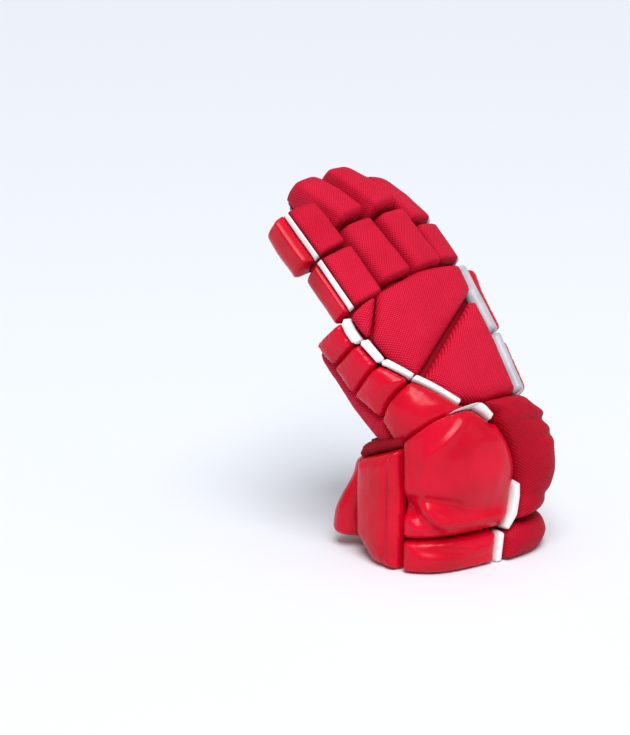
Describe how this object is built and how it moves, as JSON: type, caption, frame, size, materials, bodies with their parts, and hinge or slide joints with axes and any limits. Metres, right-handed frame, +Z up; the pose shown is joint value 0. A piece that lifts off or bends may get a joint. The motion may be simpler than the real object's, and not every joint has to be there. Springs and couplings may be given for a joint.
{
  "type": "ice hockey glove",
  "caption": "Padded ice hockey glove for the left hand, standing on its flared cuff, with segmented finger, back, side, thumb and cuff pads.",
  "frame": {"origin": "centre of the bounding box on the surface that the glove stands on", "axes": "+Z up along the standing cuff, -Y out of the back of the hand, +Y palm side and fingertips, +X thumb and index side"},
  "size_m": [0.1625, 0.1826, 0.2772],
  "materials": {
    "red_leather": "smooth semi-gloss synthetic leather",
    "red_mesh": "woven nylon mesh",
    "red_fabric": "matt knitted gusset cloth",
    "white_band": "smooth white binding",
    "silver_piping": "pearl silver, glossy",
    "grey_palm": "suede-like palm cloth",
    "black_lining": "matt lining"
  },
  "bodies": {
    "root": {"hand_lining": "red_fabric", "little_lining": "red_fabric", "ring_lining": "red_fabric", "middle_lining": "red_fabric", "index_lining": "red_fabric", "thumb_lining": "red_fabric", "cuff_lining": "black_lining", "back_panel_main": "red_mesh", "back_panel_corner": "red_mesh", "back_knuckle": "red_mesh", "index_edge_upper": "red_leather", "index_edge_lower": "red_leather", "index_piping_upper": "silver_piping", "index_piping_lower": "silver_piping", "side_roll_1": "red_leather", "side_roll_2": "red_leather", "side_roll_3": "red_leather", "side_roll_4": "red_leather", "side_stripe_1": "white_band", "side_stripe_2": "white_band", "side_stripe_3": "white_band", "side_stripe_4": "white_band", "palm_edge_band": "red_mesh", "cuff_pad_outer": "red_leather", "cuff_pad_round": "red_leather", "cuff_pad_lower": "red_leather", "cuff_stripe_lower": "white_band", "cuff_mesh_lower": "red_mesh", "cuff_side_pad": "red_leather", "cuff_tab_outer": "red_leather", "cuff_tab_thumb": "red_leather", "cuff_palm_pad": "red_leather", "cuff_stripe_round": "white_band", "palm_sheet": "grey_palm", "cuff_mesh_upper": "red_mesh", "little_roll_lower": "red_mesh", "little_roll_tip": "red_mesh", "little_stripe_lower": "white_band", "little_stripe_tip": "white_band", "little_side_lower": "red_leather", "little_side_tip": "red_leather", "little_palm": "grey_palm", "ring_roll_lower": "red_mesh", "ring_roll_tip": "red_mesh", "ring_palm": "grey_palm", "middle_roll_lower": "red_mesh", "middle_roll_tip": "red_mesh", "middle_palm": "grey_palm", "index_roll_lower": "red_mesh", "index_roll_tip": "red_mesh", "index_stripe_lower": "silver_piping", "index_stripe_tip": "silver_piping", "index_side_lower": "red_leather", "index_side_tip": "red_leather", "index_palm": "grey_palm", "thumb_roll_lower": "red_leather", "thumb_roll_tip": "red_leather", "thumb_edge_upper": "red_mesh", "thumb_edge_lower": "red_mesh", "thumb_palm": "grey_palm"}
  },
  "joints": []
}
